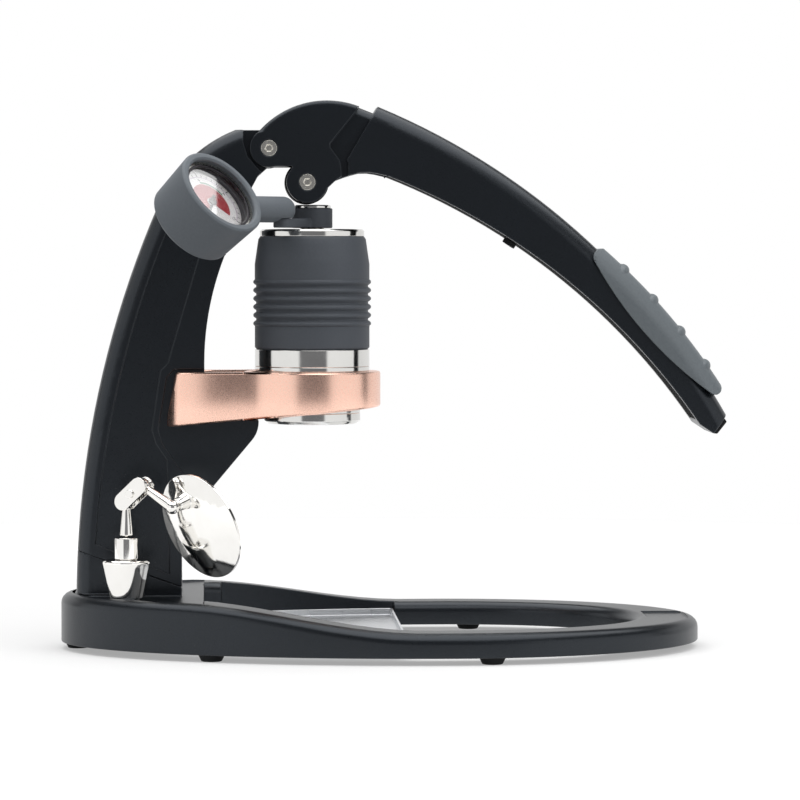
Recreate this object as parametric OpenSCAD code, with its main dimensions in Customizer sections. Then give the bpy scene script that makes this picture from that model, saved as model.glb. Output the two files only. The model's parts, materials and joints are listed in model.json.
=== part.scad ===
// Manual lever espresso maker: a cast loop base, a curved post, a pivoted lever that presses a
// plunger into a brew cylinder, a gauge on the plunger and a shot mirror on a magnet foot.
// x runs along the lever, y across it, z up; millimetres; z = 0 is the table.

/* [Base casting] */
// Length of the base from its widest line back to the rear end
base_rear = 194; // [175:0.5:215]
// Length of the base from its widest line to the front tip
base_front = 129; // [115:0.5:145]
// Half of the base's greatest width
base_half_w = 96; // [88:0.5:106]
// Place of the widest line along x
base_x = 25; // [20:0.5:30]
// Width of the loop along its sides
rim_w = 24; // [20:0.5:28]
// Width of the loop at its front tip
rim_tip_w = 33; // [28:0.5:40]
// Height of the loop at the front, without feet
rim_h = 12; // [10:0.25:15]
// How much higher the loop is at the rear than at the front
rim_rise = 13; // [8:0.25:18]
// Rounding of the loop's top edges
rim_round = 5.5; // [3:0.25:6]
// Where the loop starts to fall from the rear height
rim_fall_from = -112; // [-125:1:-100]
// Where the loop has reached its front height
rim_fall_to = 8; // [-10:1:25]
// Depth of the rear pad below the loop's top
pad_sink = 1.2; // [0.5:0.1:2.5]
// Thickness of the rear pad
pad_t = 8; // [6:0.5:10]
// Front edge of the rear pad
pad_front = -97; // [-103:0.5:-92]
// Height of the rubber feet
foot_h = 3.5; // [2.5:0.25:5]
// Diameter of a foot at its top
foot_d = 13.5; // [11:0.5:15]
// Diameter of a foot where it meets the table
foot_tip_d = 10; // [8:0.5:11]
// Distance of the feet's centres from the base's outer edge
foot_inset = 8.5; // [8:0.25:11]

/* [Drip tray] */
// Rear end of the tray's seat in the loop
tray_rear = -88; // [-90:0.5:-80]
// Front end of the tray's seat in the loop
tray_front = 3; // [-5:0.5:12]
// Width of the ledge that carries the tray on each side
tray_ledge = 5; // [4:0.25:6]
// Height of the ledge over the underside of the base
tray_ledge_h = 4; // [3:0.25:5]
// Height of the tray's upturned wall
tray_wall_h = 4.5; // [3:0.25:6]
// Thickness of the tray's sheet
tray_t = 1.2; // [0.8:0.1:2]

/* [Post] */
// Width of the post across the part
post_w = 36; // [32:0.5:42]
// Rear face of the post at its foot
post_rear_x = -161; // [-164:0.5:-156]
// Depth of the post's foot from rear to front
post_foot_depth = 53; // [48:0.5:58]
// Radius of the long bend of the rear face
post_bend_r = 499; // [470:1:530]
// Height at which the rear face is upright
post_bend_z = 24.3; // [20:0.1:30]
// Radius of the crown at the top of the post
crown_r = 70; // [64:0.5:76]
// Angle of the long bend at which the crown begins
crown_from = 23.6; // [22:0.1:25]
// Rounding of the two rear edges
spine_round = 8; // [4:0.25:10]
// Width of the raised rail along the rear edge
spine_rail = 9; // [7:0.25:12]
// Depth of the recessed side panels
panel_depth = 0.8; // [0.4:0.1:1.5]
// Radius of the front face's bend
post_front_r = 149.3; // [135:0.5:170]
// Half thickness of the web that the ring's arms straddle
web_half = 16.5; // [14:0.25:17.5]
// Slope of the bracket under the ring
bracket_angle = 50; // [44:0.5:56]
// Upright height of the bracket's nose
nose_h = 6; // [4:0.25:9]
// Height of the slanted joint over the pad at the rear
seam_rear_h = 25; // [20:0.5:30]
// Height of the slanted joint over the pad at the front
seam_front_h = 4; // [3:0.25:8]
// Diameter of the stud that holds the post down
stud_d = 10; // [8:0.5:12]
// Diameter of the hand nut on the stud
nut_d = 30; // [26:0.5:34]

/* [Lever] */
// Depth of the pivot below the crown's surface
pivot_inset = 13.4; // [12.5:0.1:15]
// Angle of the pivot round the crown's centre
pivot_angle = 99; // [97:0.25:101]
// Distance between the pivot and the press pin
press_arm = 25.6; // [24.5:0.1:28]
// Slope of the line from the pivot down to the press pin
press_slope = 41.5; // [38:0.5:45]
// Radius of the cheeks round the pivot
cheek_r = 9.6; // [9.2:0.1:10.4]
// Radius of the cheeks round the press pin
lobe_r = 10.4; // [9:0.1:10.8]
// Radius of the roller that presses the stem
roller_r = 11; // [11:0.1:12]
// Thickness of each cheek
cheek_t = 8; // [6.5:0.25:9]
// Radius of the head's top bend
head_r = 45.4; // [44:0.1:48]
// Diameter of the pins
pin_d = 6; // [5:0.25:7]
// Diameter of the pins' heads
pin_head_d = 8.2; // [8:0.1:9.5]
// Width of the handle
handle_w = 34; // [30:0.5:36]
// Radius of the handle's top bend
handle_top_r = 360.9; // [356:0.1:366]
// Radius of the handle's lower bend
handle_low_r = 341.1; // [336:0.1:346]
// Rounding of the handle's top edges
handle_round = 9; // [5:0.25:11]
// Wall of the handle's channel
handle_wall = 4; // [3:0.25:5]
// Length of the tenon inside the handle
tenon_l = 42; // [30:1:60]
// Thickness of the strip under the handle
cover_t = 1.8; // [1.2:0.1:3]
// Height of the bumper under the handle
bumper_h = 2.6; // [2:0.2:4]
// Diameter of the bumper
bumper_d = 7; // [6:0.5:10]
// Thickness of the grip over the handle at its upper end
grip_t = 3.4; // [2.5:0.1:5]
// Thickness of the grip over the handle's sides
grip_side = 1.6; // [1:0.1:2.5]
// Radius of the grip's finger ridges
ridge_r = 3.4; // [2.5:0.1:4]
// Thickness of the cap on the handle's end
end_cap_t = 2; // [1.5:0.25:4]

/* [Brew head] */
// Distance of the brew axis in front of the press pin
brew_ahead = 2.8; // [1:0.1:5]
// Radius of the ring
ring_r = 34.5; // [33:0.25:37]
// Height of the ring at its rear
ring_h = 27.5; // [24:0.25:32]
// Slope of the ring's underside
ring_slope = 5.2; // [3:0.1:6.5]
// Thickness of the ring's arms
arm_t = 7.2; // [5.5:0.1:9]
// Length of the arms behind the brew axis
arm_l = 73; // [68:0.5:76]
// Radius of the blend between ring and arms
arm_blend_r = 30; // [20:0.5:40]
// Radius of the portafilter's body
filter_r = 24.3; // [23.5:0.1:25]
// Radius of the basket's inside
basket_r = 21; // [19.5:0.1:22]
// Thickness of the portafilter's flange
flange_t = 2.4; // [2:0.1:4]
// Depth of the portafilter under its flange
filter_l = 21; // [18:0.25:26]
// Height of the cap under the portafilter
spout_h = 5.5; // [4.5:0.25:8]
// Radius of the spout hole
spout_r = 5; // [3:0.25:8]
// Radius of the brew cylinder's foot
foot_ring_r = 29; // [28:0.1:31]
// Height of the brew cylinder's foot
foot_ring_h = 8.6; // [7:0.1:11]
// Radius of the brew cylinder's wall
cyl_r = 26; // [25.4:0.1:27]
// Radius of the brew cylinder's bore
bore_r = 23; // [21.5:0.1:23.5]
// Height of the brew cylinder
cyl_h = 69.2; // [64:0.2:74]
// Height of the bare rim over the sleeve
cyl_rim_h = 3.6; // [2.5:0.1:5]
// Radius of the sleeve
sleeve_r = 29; // [28:0.1:31]
// Radius of the sleeve at its top
sleeve_top_r = 27.2; // [26.8:0.1:28.5]
// Height of the sleeve's tapered shoulder
sleeve_taper_h = 14; // [8:0.5:18]
// Number of ribs round the sleeve
rib_count = 6; // [4:1:8]
// Spacing of the ribs
rib_pitch = 4.2; // [3.5:0.1:4.6]
// Height of the lowest rib over the sleeve's lower end
rib_from = 13; // [8:0.5:16]
// Height of the piston
piston_h = 13; // [11:0.25:15]
// Thickness of the piston's seals
seal_d = 3; // [2.5:0.1:3.5]
// Diameter of the plunger's stem
stem_d = 12; // [10:0.25:13]
// Thickness of the steel cap on the stem
cap_t = 1.6; // [1:0.1:3]
// Radius of the collar on the stem
collar_r = 10.3; // [9.5:0.1:12]
// Height of the collar on the stem
collar_h = 10; // [8:0.25:12]

/* [Gauge] */
// Direction that the dial faces, seen from above
gauge_turn = -41.5; // [-45:0.5:-38]
// Upward tilt of the dial
gauge_tilt = 36.9; // [30:0.5:45]
// Distance of the elbow behind the brew axis
elbow_back = 15.5; // [14:0.25:18]
// Distance of the elbow to the side of the brew axis
elbow_side = 25.5; // [25:0.25:30]
// Height of the elbow's centre over the collar's lower end
elbow_up = 9; // [8:0.25:10]
// Radius of the tube from the elbow to the gauge
gauge_arm_r = 6.5; // [5.5:0.1:6.5]
// Distance from the elbow to the gauge's centre
gauge_arm_l = 57.5; // [50:0.5:64]
// Radius of the gauge's case
case_r = 20.5; // [18:0.25:22]
// Depth of the gauge's case
case_h = 21; // [19:0.5:25]
// Wall of the gauge's case
case_wall = 1.4; // [1:0.1:2]
// Thickness of the boot round the case
boot_t = 3.5; // [2.5:0.1:5]
// Height of the boot's front over the lens
boot_lip = 3.5; // [2.5:0.25:4.5]
// Thickness of the boot behind the case
boot_back = 2.8; // [2:0.1:4]
// Thickness of the lens
lens_t = 2; // [1.5:0.1:3]
// Thickness of the dial
dial_t = 0.8; // [0.6:0.1:1.5]
// Length of the needle from its shaft to the tip
needle_l = 14; // [10:0.5:15]
// Radius of the bent pressure tube
bourdon_r = 12; // [10:0.25:13]

/* [Shot mirror] */
// Place of the magnet foot along x
mirror_x = -135.3; // [-140:0.5:-128]
// Place of the magnet foot across the base
mirror_y = -35; // [-35.5:0.25:-34]
// Height of the magnet foot
magnet_h = 20; // [16:0.5:24]
// Diameter of the magnet foot at its top
magnet_top_d = 24; // [20:0.5:26]
// Diameter of the magnet foot at its bottom
magnet_low_d = 17; // [14:0.5:18]
// Height of the nut on the magnet foot
nut_h = 11; // [8:0.5:13]
// Length of the stem from the nut to the lower ball
lower_stem_l = 18; // [14:0.5:24]
// Radius of the joint balls
ball_r = 4; // [3.4:0.1:4.6]
// Distance between the two balls
link_l = 12.2; // [11:0.1:16]
// Turn of the mirror's arm, seen from above
link_turn = -30.5; // [-38:0.5:-28]
// Rise of the link between the balls
link_rise = 40.6; // [30:0.5:50]
// Length of the mirror's rod
rod_l = 20.2; // [17:0.2:26]
// Fall of the mirror's rod
rod_fall = 30; // [22:0.5:36]
// Radius of the mirror
mirror_r = 27.5; // [24:0.25:28.5]
// Thickness of the mirror's shell
mirror_t = 3.2; // [2.5:0.1:4.5]
// Distance of the rod's nub from the mirror's centre
nub_out = 14.7; // [10:0.25:18]
// Height of the rod's nub
nub_h = 8.6; // [6:0.2:12]
// Direction that the mirror's back faces, seen from above
mirror_turn = 220.4; // [216:0.5:230]
// Downward tilt of the mirror's back
mirror_tilt = 19.4; // [10:0.5:28]

/* [Fits] */
// Radial play of a turning or sliding fit
run_fit = 0.04; // [0.02:0.01:0.08]
// Radial play of a fixed fit
seat_fit = 0.05; // [0.02:0.01:0.1]
// Gap between faces of pieces that move past each other
free_gap = 0.3; // [0.25:0.05:0.5]

/* [Hidden] */
$fn = 96;

// Colours
powder_black = "#23262a";
silicone = "#4e5357";
grip_grey = "#6b7173";
copper = "#dba58d";
steel = "#c9c9c7";
rubber = "#1a1b1d";

// Heights of the base
under_z = foot_h;
rim_front_z = under_z + rim_h;
rim_rear_z = rim_front_z + rim_rise;
pad_z = rim_rear_z - pad_sink;
ledge_z = under_z + tray_ledge_h;

// Post: the long bend, the crown that continues it, and the pivot below the crown
bend_c = [post_rear_x + post_bend_r, post_bend_z];
crown_dir = [-cos(crown_from), sin(crown_from)];
crown_c = bend_c + (post_bend_r - crown_r) * crown_dir;
post_half = post_w / 2;
post_front_low = post_rear_x + post_foot_depth;
pivot = crown_c + (crown_r - pivot_inset) * [cos(pivot_angle), sin(pivot_angle)];

// Lever: press pin, cheeks and the two bends of the handle, all from the pivot
press = pivot + press_arm * [cos(press_slope), -sin(press_slope)];
cheek_gap_half = post_half - cheek_t;
tongue_half = cheek_gap_half - free_gap;
head_ahead = 29.1;
head_drop = 21.5;
head_c = pivot + [head_ahead, -head_drop];

// Middle of the handle's top and lower bends, and the angle there; the bends' centres follow
top_mid_ahead = 149.68;
top_mid_drop = 36.23;
top_mid_angle = 50;
handle_top_c = pivot + [top_mid_ahead, -top_mid_drop]
    - handle_top_r * [cos(top_mid_angle), sin(top_mid_angle)];
low_mid_ahead = 145.88;
low_mid_drop = 62.96;
low_mid_angle = 52;
handle_low_c = pivot + [low_mid_ahead, -low_mid_drop]
    - handle_low_r * [cos(low_mid_angle), sin(low_mid_angle)];

// Corners of the handle's two ends: the heel under its start, and the slanted tip
heel_ahead = 39.6;
heel_drop = 13.8;
heel_l = 20;
heel = pivot + [heel_ahead, -heel_drop];
collar_low_ahead = 38.9;
collar_low_drop = 5.9;
collar_low = pivot + [collar_low_ahead, -collar_low_drop];
collar_top_ahead = 54.4;
collar_top_rise = 20.5;
collar_top = pivot + [collar_top_ahead, collar_top_rise];
tip_top_ahead = 230.9;
tip_top_drop = 135.3;
tip_top = pivot + [tip_top_ahead, -tip_top_drop];
tip_low_ahead = 224.3;
tip_low_drop = 143.6;
tip_low = pivot + [tip_low_ahead, -tip_low_drop];
rail_depth = 66;
handle_half = handle_w / 2;
channel_half = handle_half - handle_wall;

// Brew head, stacked down from the roller
brew_x = press[0] + brew_ahead;
stem_top = press[1] - roller_r - free_gap;
collar_top_z = stem_top - cap_t;
collar_z = collar_top_z - collar_h;
cyl_top = collar_z - 2 * free_gap;
cyl_z = cyl_top - cyl_h;
sleeve_z = cyl_z + foot_ring_h;
sleeve_top = cyl_top - cyl_rim_h;
ring_top = cyl_z - flange_t;
filter_z = ring_top - filter_l;
spout_z = filter_z - spout_h;
arm_end = brew_x - arm_l;
arm_in = web_half + free_gap;
arm_out = arm_in + arm_t;
ring_low = ring_top - ring_h;
ring_rear_low = ring_low + (arm_l - ring_r) * tan(ring_slope);
shelf_z = ring_rear_low - free_gap;
nose_x = brew_x - filter_r - 10 * free_gap;
nose_low = shelf_z - nose_h;
post_front_x = brew_x - ring_r - 20;
piston_z = cyl_z + 3;
piston_r = bore_r - run_fit;

// Gauge
elbow = [brew_x - elbow_back, -elbow_side, collar_z + elbow_up];
gauge_c = elbow + gauge_arm_l * [sin(gauge_turn), -cos(gauge_turn), 0];
boot_r = case_r + boot_t;

// Shot mirror
magnet_z = pad_z + seat_fit;
nut_z = magnet_z + magnet_h;
stem_z = nut_z + nut_h;
ball_low = [0, 0, stem_z + lower_stem_l];
ball_high = ball_low + link_l * [cos(link_rise), 0, sin(link_rise)];
rod_end = ball_high + rod_l * [cos(rod_fall), 0, -sin(rod_fall)];

// Extrudes a side profile, drawn in x and z, to a width across the part
module side_plate(width) {
    rotate([90, 0, 0]) translate([0, 0, -width / 2]) linear_extrude(width) children();
}

// Two plates of a side profile, one on each side, between two distances from the middle
module side_pair(inner, outer) {
    for (s = [-1, 1])
        translate([0, s * (inner + outer) / 2, 0]) side_plate(outer - inner) children();
}

// A rail bent round a centre in side view, with its two outer edges rounded
module bent_rail(centre, r_in, r_out, half, round_r, from, to) {
    translate([centre[0], 0, centre[1]]) rotate([90, 0, 0])
        rotate_extrude(angle = to - from, start = from) {
            translate([r_in, -half]) square([r_out - round_r - r_in, 2 * half]);
            translate([r_in, round_r - half]) square([r_out - r_in, 2 * (half - round_r)]);
            for (s = [-1, 1])
                translate([r_out - round_r, s * (half - round_r)]) circle(round_r);
        }
}

// A round bar across the part
module cross_bar(at, r, from, to) {
    translate([at[0], to, at[1]]) rotate([90, 0, 0]) cylinder(r = r, h = to - from);
}

// A ring round the brew axis
module brew_ring(r_in, r_out, z, h) {
    translate([brew_x, 0, z]) difference() {
        cylinder(r = r_out, h = h);
        translate([0, 0, -1]) cylinder(r = r_in, h = h + 2);
    }
}

// Base: a loop swept round an egg-shaped outline
rim_steps = 120;
round_steps = 5;

// Point of the base's outline at an angle, moved inwards
function rim_point(t, inwards) =
    let (a = cos(t) >= 0 ? base_front : base_rear)
    let (n = [cos(t) / a, sin(t) / base_half_w])
    [base_x + a * cos(t), base_half_w * sin(t)] - inwards * n / norm(n);

// Width of the loop, which grows towards the front tip
function rim_width(t) = rim_w + (cos(t) > 0 ? (rim_tip_w - rim_w) * pow(cos(t), 4) : 0);

// Height of the loop's top, which falls in a soft S from the rear to the front
function rim_top(x) =
    let (u = max(0, min(1, (rim_fall_to - x) / (rim_fall_to - rim_fall_from))))
    rim_front_z + rim_rise * u * u * (3 - 2 * u);

// The loop's section: how far inwards and how high each point lies
function rim_section(w, top) = concat(
    [[0, under_z]],
    [for (k = [0:round_steps]) let (a = 90 * k / round_steps)
        [rim_round * (1 - cos(a)), top - rim_round * (1 - sin(a))]],
    [for (k = [0:round_steps]) let (a = 90 * k / round_steps)
        [w - rim_round * (1 - sin(a)), top - rim_round * (1 - cos(a))]],
    [[w, under_z]]
);

module rim_loop() {
    side = 2 * round_steps + 4;
    points = [
        for (i = [0:rim_steps - 1])
            let (t = 360 * i / rim_steps)
            for (p = rim_section(rim_width(t), rim_top(rim_point(t, 0)[0])))
                let (at = rim_point(t, p[0])) [at[0], at[1], p[1]]
    ];
    faces = [
        for (i = [0:rim_steps - 1], j = [0:side - 1])
            let (i2 = (i + 1) % rim_steps, j2 = (j + 1) % side)
            let (a = i * side + j, b = i2 * side + j, c = i2 * side + j2, d = i * side + j2)
            each [[a, d, c], [a, c, b]]
    ];
    polyhedron(points, faces);
}

// The area inside the loop, widened into the loop by a distance
module loop_inside(widen) {
    polygon([for (i = [0:rim_steps - 1]) let (t = 360 * i / rim_steps)
        rim_point(t, rim_width(t) - widen)]);
}

// The tray's seat in plan, drawn in by a gap
module tray_plan(gap) {
    intersection() {
        loop_inside(tray_ledge - gap);
        translate([tray_rear + gap, -base_half_w])
            square([tray_front - tray_rear - 2 * gap, 2 * base_half_w]);
    }
}

// The rear pad in plan, up to a narrow lip along the loop's outer edge
module pad_plan() {
    intersection() {
        polygon([for (i = [0:rim_steps - 1]) rim_point(360 * i / rim_steps, rim_round + 0.5)]);
        translate([base_x - base_rear, -base_half_w])
            square([pad_front - base_x + base_rear, 2 * base_half_w]);
    }
}

foot_angles = [81.5, 128.7, 180, 231.3, 278.5];
peg_d = 5;
peg_h = 5;
stud_x = post_front_low - 19;
boss_d = 34;
nut_t = 9;
nut_z0 = 1.5;

module base_frame() color(powder_black) {
    difference() {
        union() {
            rim_loop();
            translate([0, 0, pad_z - pad_t]) linear_extrude(pad_t) pad_plan();
            translate([stud_x, 0, nut_z0 + nut_t + seat_fit])
                cylinder(d = boss_d, h = pad_z - pad_t / 2 - nut_z0 - nut_t);
            intersection() {
                post_blank();
                side_plate(post_w) foot_zone();
            }
        }
        difference() {
            translate([0, 0, pad_z]) linear_extrude(rim_rear_z) pad_plan();
            side_plate(post_w + 1) foot_zone();
        }
        translate([0, 0, ledge_z]) linear_extrude(rim_rear_z) tray_plan(0);
        translate([stud_x, 0, 0]) cylinder(d = stud_d + 2 * seat_fit, h = 3 * pad_z);
        for (t = foot_angles)
            translate(concat(rim_point(t, foot_inset), under_z - 1))
                cylinder(d = peg_d + 2 * seat_fit, h = peg_h + 1.5);
        tip_recess();
    }
}

// Shallow bare recess on top of the loop's front tip
recess_l = 20;
recess_w = 34;
recess_depth = 1;
module tip_recess() {
    translate([base_x + base_front - rim_tip_w / 2 - recess_l / 2, -recess_w / 2,
        rim_front_z - recess_depth])
        cube([recess_l, recess_w, rim_h]);
}

module base_feet() color(rubber) {
    for (t = foot_angles)
        translate(concat(rim_point(t, foot_inset), 0)) {
            cylinder(d1 = foot_tip_d, d2 = foot_d, h = foot_h);
            translate([0, 0, foot_h / 2]) cylinder(d = peg_d, h = foot_h / 2 + peg_h);
        }
}

module drip_tray() color(steel) {
    translate([0, 0, ledge_z + seat_fit]) difference() {
        linear_extrude(tray_wall_h) tray_plan(2 * free_gap);
        translate([0, 0, tray_t]) linear_extrude(tray_wall_h) tray_plan(2 * free_gap + tray_t);
    }
}

// Post: the slanted joint line over the pad, as [x, z] at its rear and front ends
seam_rear = [post_rear_x - 4, pad_z + seam_rear_h];
seam_front = [post_front_low + 2, pad_z + seam_front_h];

// Side zone of the foot that is cast on the base, and the zone of the post above it
module foot_zone() {
    polygon([[seam_rear[0], pad_z - 1], seam_rear, seam_front, [seam_front[0], pad_z - 1]]);
}
module post_zone() {
    polygon([seam_rear, seam_front, [brew_x, seam_front[1]], [brew_x, pivot[1] + crown_r],
        [seam_rear[0], pivot[1] + crown_r]]);
}

// Everything in front of the post, in side view
neck_low = pivot - [22, 53.5];
neck_mid = pivot - [9.5, 21.4];
neck_top = pivot - [5.5, 14];
nose_r = 14;
nose_turn = 90 - bracket_angle;
function nose_arc() =
    let (c = [nose_x - nose_r, nose_low + nose_r * tan(nose_turn / 2)])
    [for (k = [0:6]) let (a = -nose_turn * (1 - k / 6)) c + nose_r * [cos(a), sin(a)]];
module ahead_of_post(grow = 0) {
    front_c = [post_front_x + post_front_r, ring_top + 3.8];
    far = brew_x + ring_r;
    bracket_run = nose_x - post_front_low;
    polygon([[post_front_low, 0], [post_front_low, nose_low - bracket_run * tan(bracket_angle)],
        each nose_arc(), [nose_x, shelf_z], [post_front_x - grow, shelf_z],
        [post_front_x - grow, front_c[1]], [far, front_c[1]], [far, 0]]);
    intersection() {
        translate(front_c) circle(post_front_r + grow);
        translate([post_front_x - grow, front_c[1] - 1])
            square([far - post_front_x, neck_low[1] - front_c[1] + 1]);
    }
    polygon([neck_low - [grow, 0], neck_mid - [grow, 0], neck_top, [pivot[0], pivot[1] - cheek_r + 0.5],
        [far, pivot[1] - cheek_r + 0.5], [far, neck_low[1]]]);
}

module post_blank() {
    difference() {
        union() {
            bent_rail(bend_c, post_bend_r - 112, post_bend_r, post_half, spine_round,
                180 - crown_from, 182);
            bent_rail(crown_c, 12, crown_r, post_half, spine_round, 80, 180);
        }
        side_plate(post_w + 2) ahead_of_post();
    }
}

// Room that the lever's cheeks sweep beside the tongue, in side view
module cheek_sweep() {
    translate(pivot) circle(cheek_r + 1.1);
    polygon([pivot + [-12.8, 40], pivot + [-12.8, 2.5], pivot + [-10.5, -4.5], pivot + [-4, -12],
        pivot + [30, -12], pivot + [30, 40]]);
}

// Room in front of the rounded end of the tongue
module tongue_end() {
    difference() {
        translate(pivot - [0, 30]) square([60, 70]);
        translate(pivot) circle(cheek_r - 0.8);
    }
}

// Side pocket round the ring's arms
module arm_pocket(grow = 0) {
    polygon([[brew_x, ring_top + 1.5 + grow], [arm_end + 3.4 - grow, ring_top + 1.5 + grow],
        [arm_end - 0.4 - grow, ring_top - 2.5 + grow], [arm_end - 4.7 - grow, ring_low - 1.5],
        [arm_end - 2.7 - grow, ring_low - 8.5], [arm_end + 8 - grow, ring_low - 24],
        [arm_end + 20 - grow, ring_low - 40], [brew_x, ring_low - 40]]);
}

// Recessed side panel between the rear rail and the front edge
module side_panel() {
    difference() {
        intersection() {
            translate(bend_c) circle(post_bend_r - spine_rail);
            polygon([seam_rear + [0, 7], seam_front + [-8, 7], [post_front_low - 8, ring_top],
                [post_front_x + 6, neck_low[1] + 28], [post_rear_x, neck_low[1] + 28]]);
        }
        ahead_of_post(8);
        arm_pocket(3);
    }
}

bush_wall = 2;
bush_r = pin_d / 2 + run_fit + bush_wall;

module post() color(powder_black) {
    difference() {
        intersection() {
            post_blank();
            side_plate(post_w + 2) post_zone();
        }
        side_pair(tongue_half, post_half + 1) cheek_sweep();
        side_plate(post_w) tongue_end();
        side_plate(post_w + 2) translate(pivot + [-26, cheek_r - 0.4]) square(60);
        side_pair(post_half - panel_depth, post_half + 1) side_panel();
        side_pair(web_half, post_half + 1) arm_pocket();
        cross_bar(pivot, bush_r + seat_fit, -post_half, post_half);
        translate([stud_x, 0, 0]) cylinder(d = stud_d + 2 * seat_fit, h = stud_top + seat_fit);
    }
}

stud_top = seam_rear[1] + 35;
module post_stud() color(steel) {
    translate([stud_x, 0, nut_z0 + 1]) cylinder(d = stud_d, h = stud_top - nut_z0 - 1);
}

module post_hand_nut() color(rubber) {
    translate([stud_x, 0, nut_z0]) difference() {
        cylinder(d = nut_d, h = nut_t);
        translate([0, 0, -1]) cylinder(d = stud_d + 2 * seat_fit, h = nut_t + 2);
        for (a = [0:30:330])
            rotate(a) translate([nut_d / 2 + 1.5, 0, -1]) cylinder(r = 3, h = nut_t + 2, $fn = 24);
    }
}

module pivot_bush() color("#b08d57") {
    difference() {
        cross_bar(pivot, bush_r, -tongue_half, tongue_half);
        cross_bar(pivot, pin_d / 2 + run_fit, -post_half, post_half);
    }
}

// Lever head: two cheeks, the block that joins them and the tenon for the handle
module cheek_outline() {
    translate(pivot) circle(cheek_r);
    translate(press) circle(lobe_r);
    intersection() {
        translate(head_c) circle(head_r);
        polygon([pivot + [0, 0.5 - cheek_r], [press[0] - lobe_r * 0.75, pivot[1] + 0.5 - cheek_r], press,
            press + [7.6, -7], press + [9.7, -3.5], press + [13.6, 0.2], press + [17.2, 2.9],
            press + [17, 7], press + [16.2, 10.8], press + [11.4, 17.3], press + [11.3, 19.3],
            press + [27.6, 39.6], press + [27.6, 60], pivot + [-12, 60], pivot + [-6.7, 7.7]]);
    }
}

module joining_block() {
    difference() {
        intersection() {
            cheek_outline();
            translate(pivot + [14, -40]) square([120, 120]);
        }
        translate(press) circle(roller_r + 2);
        translate(pivot) circle(17);
    }
}

// Side profile between the handle's two bends, from a line across it onwards
module tenon_profile() {
    difference() {
        polygon([press + [11, 4], press + [9, 19], press + [24, 42], collar_top + [tenon_l, 0],
            heel + [tenon_l, -20], heel]);
        translate(handle_low_c) circle(handle_low_r + cover_t + 5);
    }
}

// Full depth of the neck between the cheeks and the handle's end
module neck_profile() {
    polygon([press + [10, 3], press + [13.8, 0.6], heel + [-1.4, -0.6], heel + [2, 0.4],
        collar_low + [4, 0], collar_top + [2, -6], press + [21, 36], press + [8, 19]]);
}

pin_sink = 0.3;
pin_head_t = 2.2;
head_bore_r = pin_head_d / 2 + 2 * seat_fit;
head_seat = post_half - pin_sink - pin_head_t;

module pin_holes(at) {
    cross_bar(at, pin_d / 2 + seat_fit, -post_half - 1, post_half + 1);
    cross_bar(at, head_bore_r, -post_half - 1, seat_fit - head_seat);
    cross_bar(at, head_bore_r, head_seat - seat_fit, post_half + 1);
}

module lever_head() color(powder_black) {
    difference() {
        union() {
            side_pair(cheek_gap_half, post_half) cheek_outline();
            side_plate(2 * cheek_gap_half) joining_block();
            intersection() {
                bent_rail(handle_top_c, handle_top_r - rail_depth, handle_top_r - handle_wall - seat_fit,
                    channel_half - seat_fit, handle_round - handle_wall, 40, 75);
                side_plate(handle_w) difference() {
                    union() {
                        tenon_profile();
                        neck_profile();
                    }
                    translate(press) circle(roller_r + 2);
                }
            }
        }
        pin_holes(pivot);
        pin_holes(press);
    }
}

// Handle: a channel with a rounded top and a solid tip, closed underneath by a strip in the channel
solid_tip = 14;
module handle_zone(start, stop) {
    along = (collar_top - collar_low) / norm(collar_top - collar_low);
    across = (tip_top - tip_low) / norm(tip_top - tip_low);
    polygon([heel + [start, 0], collar_low + [start, 0], collar_top + 20 * along + [start, 0],
        tip_top + 120 * across - [stop, 0], tip_low - [stop, 0], heel + [heel_l + start, -20]]);
}

// Heel that deepens the handle's start
module handle_heel() {
    polygon([heel, heel + [6.2, 1.6], heel + [10.4, 1.7], heel + [14.5, 1.1], heel + [heel_l, -0.2],
        heel + [heel_l, 10], heel + [0, 10]]);
}

module handle_outer(grow) {
    bent_rail(handle_top_c, handle_top_r - rail_depth, handle_top_r + grow, handle_half + grow,
        handle_round + grow, 28, 70);
}

module lever_handle() color(powder_black) {
    difference() {
        intersection() {
            handle_outer(0);
            side_plate(handle_w + 2) difference() {
                handle_zone(0, 0);
                difference() {
                    translate(handle_low_c) circle(handle_low_r);
                    handle_heel();
                }
            }
        }
        intersection() {
            bent_rail(handle_top_c, handle_top_r - 1.2 * rail_depth, handle_top_r - handle_wall,
                channel_half, handle_round - handle_wall, 20, 80);
            side_plate(handle_w) handle_zone(-10, solid_tip);
        }
    }
}

module lever_cover() color(powder_black) {
    side_plate(2 * (channel_half - seat_fit)) difference() {
        intersection() {
            handle_zone(heel_l + seat_fit, solid_tip + seat_fit);
            translate(handle_low_c) circle(handle_low_r + cover_t);
        }
        translate(handle_low_c) circle(handle_low_r);
    }
}

// Direction square to the handle's lower bend at an angle round its centre
bumper_angle = 56.8;
module lever_bumper() color(rubber) {
    translate([handle_low_c[0], 0, handle_low_c[1]]) rotate([0, 90 - bumper_angle, 0])
        translate([0, 0, handle_low_r - bumper_h]) difference() {
            cylinder(d = bumper_d, h = bumper_h + cover_t / 2);
            translate([0, 0, bumper_h + cover_t / 2]) rotate([90, 0, 0])
                translate([0, -handle_low_r - cover_t / 2, -bumper_d])
                    difference() {
                        cylinder(r = handle_low_r + bumper_d, h = 2 * bumper_d, $fn = 360);
                        translate([0, 0, -1])
                            cylinder(r = handle_low_r - seat_fit, h = 2 * bumper_d + 2, $fn = 360);
                    }
        }
}

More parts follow.
